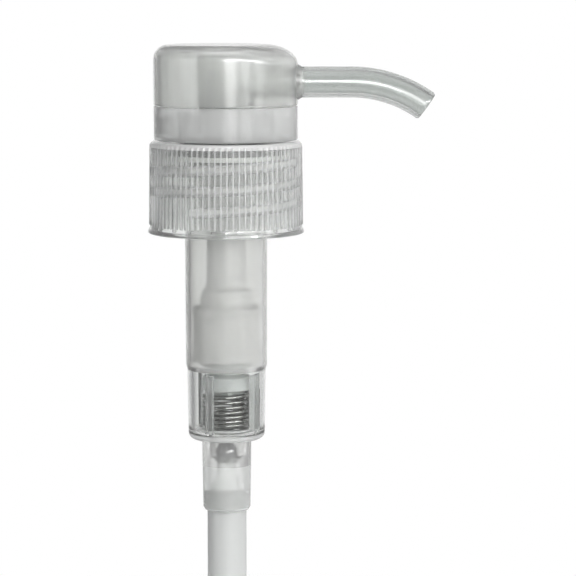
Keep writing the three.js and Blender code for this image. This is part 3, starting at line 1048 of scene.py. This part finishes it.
def make_seat():
    """The plug under the stem, whose nose presses on the spring."""
    top, low = seat_high.z, seat_low.z
    plug, rim, waist, nose = 2.75, seat_high.x, 3.5, 5.17
    rim_top, rim_low = -42.2, -43.2
    shoulder = spring_high.z + 0.02  # just above the spring's last coil
    profile = [
        (LEAST_RADIUS, top),
        (2.5, top, 0.2),
        (plug, top - 0.6, 0.2),
        (plug, rim_top, 0.1),
        (rim, rim_top, 0.15),
        (rim, rim_low, 0.15),
        (waist, rim_low - 0.4, 0.3),
        (waist, rim_low - 1.6, 0.3),
        (nose, rim_low - 2.2, 0.25),
        (nose, shoulder, 0.2),
        (3.9, shoulder, 0.15),
        (3.7, low, 0.3),
        (LEAST_RADIUS, low),
    ]
    seat = turned("plunger_seat_plug", profile, 96, closed=False)
    finish_piece(seat, "plunger_seat", "plunger", SEAT)


def wire_modifier(thing, radius, around, material):
    """Makes round wire of a mesh that is only a line, so that the wire stays round however
    the line is stretched."""
    tree = bpy.data.node_groups.new(thing.name + "_wire", "GeometryNodeTree")
    tree.interface.new_socket("Geometry", in_out="INPUT", socket_type="NodeSocketGeometry")
    tree.interface.new_socket("Geometry", in_out="OUTPUT", socket_type="NodeSocketGeometry")
    source = tree.nodes.new("NodeGroupInput")
    curve = tree.nodes.new("GeometryNodeMeshToCurve")
    circle = tree.nodes.new("GeometryNodeCurvePrimitiveCircle")
    circle.inputs["Resolution"].default_value = around
    circle.inputs["Radius"].default_value = radius
    wire = tree.nodes.new("GeometryNodeCurveToMesh")
    wire.inputs["Fill Caps"].default_value = True
    finish = tree.nodes.new("GeometryNodeSetMaterial")
    finish.inputs["Material"].default_value = material
    target = tree.nodes.new("NodeGroupOutput")
    link = tree.links.new
    link(source.outputs["Geometry"], curve.inputs["Mesh"])
    link(curve.outputs["Curve"], wire.inputs["Curve"])
    link(circle.outputs["Curve"], wire.inputs["Profile Curve"])
    link(wire.outputs["Mesh"], finish.inputs["Geometry"])
    link(finish.outputs["Geometry"], target.inputs["Geometry"])
    thing.modifiers.new("wire", "NODES").node_group = tree


def make_spring():
    """The steel spring, compressed: it stretches between the cage and the plunger."""
    wire = 0.44  # radius
    mean = 4.72  # radius of the helix
    turns = 7.4
    closing = 1.18  # above 1, the lower coils lie closer together
    steps_per_turn = 72
    low = spring_low.z + wire
    high = spring_high.z - wire
    count = int(turns * steps_per_turn)
    points = []
    for i in range(count + 1):
        share = i / count
        angle = FULL_TURN * turns * share
        height = low + (high - low) * share ** closing
        points.append(Vector((mean * math.cos(angle), mean * math.sin(angle), height)) * MM)
    mesh = bpy.data.meshes.new("return_spring_wire")
    mesh.from_pydata(points, [(i, i + 1) for i in range(count)], [])
    spring = bpy.data.objects.new("return_spring_wire", mesh)
    bpy.context.scene.collection.objects.link(spring)
    finish_piece(spring, "return_spring", None, WIRE)
    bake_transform(spring)
    wire_modifier(spring, wire * MM, 20, WIRE)


def make_ball(name, node, body, material):
    """A valve ball the size of its CAD node."""
    low, high = node_box(node)
    centre, radius = (low + high) / 2, (high.z - low.z) / 2
    steps = 24
    profile = []
    for i in range(steps + 1):
        turn = math.pi * (0.01 + 0.98 * i / steps) - math.pi / 2
        profile.append((radius * math.cos(turn), centre.z + radius * math.sin(turn)))
    finish_piece(turned(name, profile, 48, closed=False), node, body, material)


make_head()
make_collar()
make_seal()
make_closure()
make_gasket()
make_housing()
make_cage()
make_tube()
make_stem()
make_piston()
make_seat()
make_spring()
make_ball("inlet_ball_steel", "inlet_ball", "inlet_valve", STEEL)
make_ball("discharge_ball_glass", "discharge_ball", "discharge_valve", GLASS)

# ---------------------------------------------------------------- floor, light and camera

ROOM = 0.40  # brightness where there is no light

# Each light is (azimuth, elevation, brightness, edges). The edges are the distances from its
# middle, on a sphere of radius 1, where it starts and stops fading into the room.
SOFT_LIGHTS = (
    (180, 3, 1.08, (0.25, 0.75)),
    (125, 5, 0.95, (0.20, 0.60)),
    (10, 10, 7.5, (0.08, 0.36)),
    (34, 12, 7.5, (0.08, 0.36)),
    (58, 14, 7.5, (0.08, 0.36)),
    (3, 8, 32, (0.02, 0.11)),
    (22, 12, 32, (0.03, 0.13)),
    (45, 16, 32, (0.03, 0.14)),
    (-60, 10, 2.0, (0.10, 0.40)),
    (0, 85, 1.5, (0.3, 0.9)),
)


def make_floor():
    """A pale disc of floor just under the dip tube, which fades into the white room."""
    mesh = bpy.data.meshes.new("floor")
    wide, fade_from, fade_to = 0.42, 0.12, 0.38
    around = ring_angles(96)
    level = (tube_low.z - 0.5) * MM
    verts = [(wide * math.cos(a), wide * math.sin(a), level) for a in around]
    mesh.from_pydata(verts, [], [list(range(len(verts)))])
    floor = bpy.data.objects.new("floor", mesh)
    bpy.context.scene.collection.objects.link(floor)
    nodes = Nodes("pale_floor")
    grain = nodes.noise(9, 2, 0.5)
    nodes.colour(grain, (0.93, 0.93, 0.93), (0.95, 0.95, 0.95))
    nodes.set(Roughness=0.9, Specular_IOR_Level=0.1)
    coordinates = nodes.add("ShaderNodeTexCoord")
    length = nodes.add("ShaderNodeVectorMath", operation="LENGTH")
    flat = nodes.add("ShaderNodeVectorMath", operation="MULTIPLY")
    flat.inputs[1].default_value = (1, 1, 0)
    nodes.link(coordinates.outputs["Object"], flat.inputs[0])
    nodes.link(flat.outputs["Vector"], length.inputs[0])
    clear = nodes.add("ShaderNodeBsdfTransparent")
    mix = nodes.add("ShaderNodeMixShader")
    nodes.link(nodes.span(length.outputs["Value"], 0.0, 1.0, fade_from, fade_to), mix.inputs["Fac"])
    nodes.link(nodes.shader.outputs["BSDF"], mix.inputs[1])
    nodes.link(clear.outputs["BSDF"], mix.inputs[2])
    nodes.link(mix.outputs["Shader"], nodes.tree.nodes["Material Output"].inputs["Surface"])
    mesh.materials.append(nodes.material)


def direction(azimuth, elevation):
    """Azimuth 0 is where the camera stands, and a positive one is to its right."""
    turn, lift = math.radians(azimuth), math.radians(elevation)
    return Vector((math.sin(turn) * math.cos(lift), -math.cos(turn) * math.cos(lift), math.sin(lift)))


def make_world():
    """White where the camera looks past the object. What lights the object is a dim room
    with soft lights in it."""
    world = bpy.data.worlds.new("studio")
    bpy.context.scene.world = world
    world.use_nodes = True
    tree = world.node_tree
    tree.nodes.clear()
    link = tree.links.new

    def larger(first, second):
        node = tree.nodes.new("ShaderNodeMath")
        node.operation = "MAXIMUM"
        link(first, node.inputs[0])
        link(second, node.inputs[1])
        return node.outputs["Value"]

    def soft_light(azimuth, elevation, brightness, edges):
        apart = tree.nodes.new("ShaderNodeVectorMath")
        apart.operation = "DISTANCE"
        link(coordinates.outputs["Generated"], apart.inputs[0])
        apart.inputs[1].default_value = direction(azimuth, elevation)
        node = tree.nodes.new("ShaderNodeMapRange")
        node.interpolation_type = "SMOOTHSTEP"
        node.inputs["From Min"].default_value, node.inputs["From Max"].default_value = edges
        node.inputs["To Min"].default_value, node.inputs["To Max"].default_value = brightness, ROOM
        link(apart.outputs["Value"], node.inputs["Value"])
        return node.outputs["Result"]

    coordinates = tree.nodes.new("ShaderNodeTexCoord")
    level = soft_light(*SOFT_LIGHTS[0])
    for light in SOFT_LIGHTS[1:]:
        level = larger(level, soft_light(*light))
    room = tree.nodes.new("ShaderNodeBackground")
    link(level, room.inputs["Strength"])
    white = tree.nodes.new("ShaderNodeBackground")
    white.inputs["Color"].default_value = (1, 1, 1, 1)
    path = tree.nodes.new("ShaderNodeLightPath")
    mix = tree.nodes.new("ShaderNodeMixShader")
    link(path.outputs["Is Camera Ray"], mix.inputs["Fac"])
    link(room.outputs["Background"], mix.inputs[1])
    link(white.outputs["Background"], mix.inputs[2])
    output = tree.nodes.new("ShaderNodeOutputWorld")
    link(mix.outputs["Shader"], output.inputs["Surface"])


def make_camera():
    """A long-lens camera just above the button's height, looking slightly down."""
    distance = 0.520
    across = 0.01285
    eye = Vector((across, -distance, 0.037))
    target = Vector((across, 0, -0.0270))
    view_width = 0.119077  # metres across the picture at the pump's axis
    camera = bpy.data.cameras.new("camera")
    camera.sensor_width = 36
    camera.lens = camera.sensor_width * distance / view_width
    camera.clip_start, camera.clip_end = 0.01, 50
    thing = bpy.data.objects.new("camera", camera)
    thing.location = eye
    thing.rotation_euler = (target - eye).to_track_quat("-Z", "Y").to_euler()
    bpy.context.scene.collection.objects.link(thing)
    bpy.context.scene.camera = thing


make_floor()
make_world()
make_camera()
scene = bpy.context.scene
scene.view_settings.view_transform = "Standard"
scene.cycles.max_bounces = 32
scene.cycles.transmission_bounces = 32
scene.cycles.glossy_bounces = 8
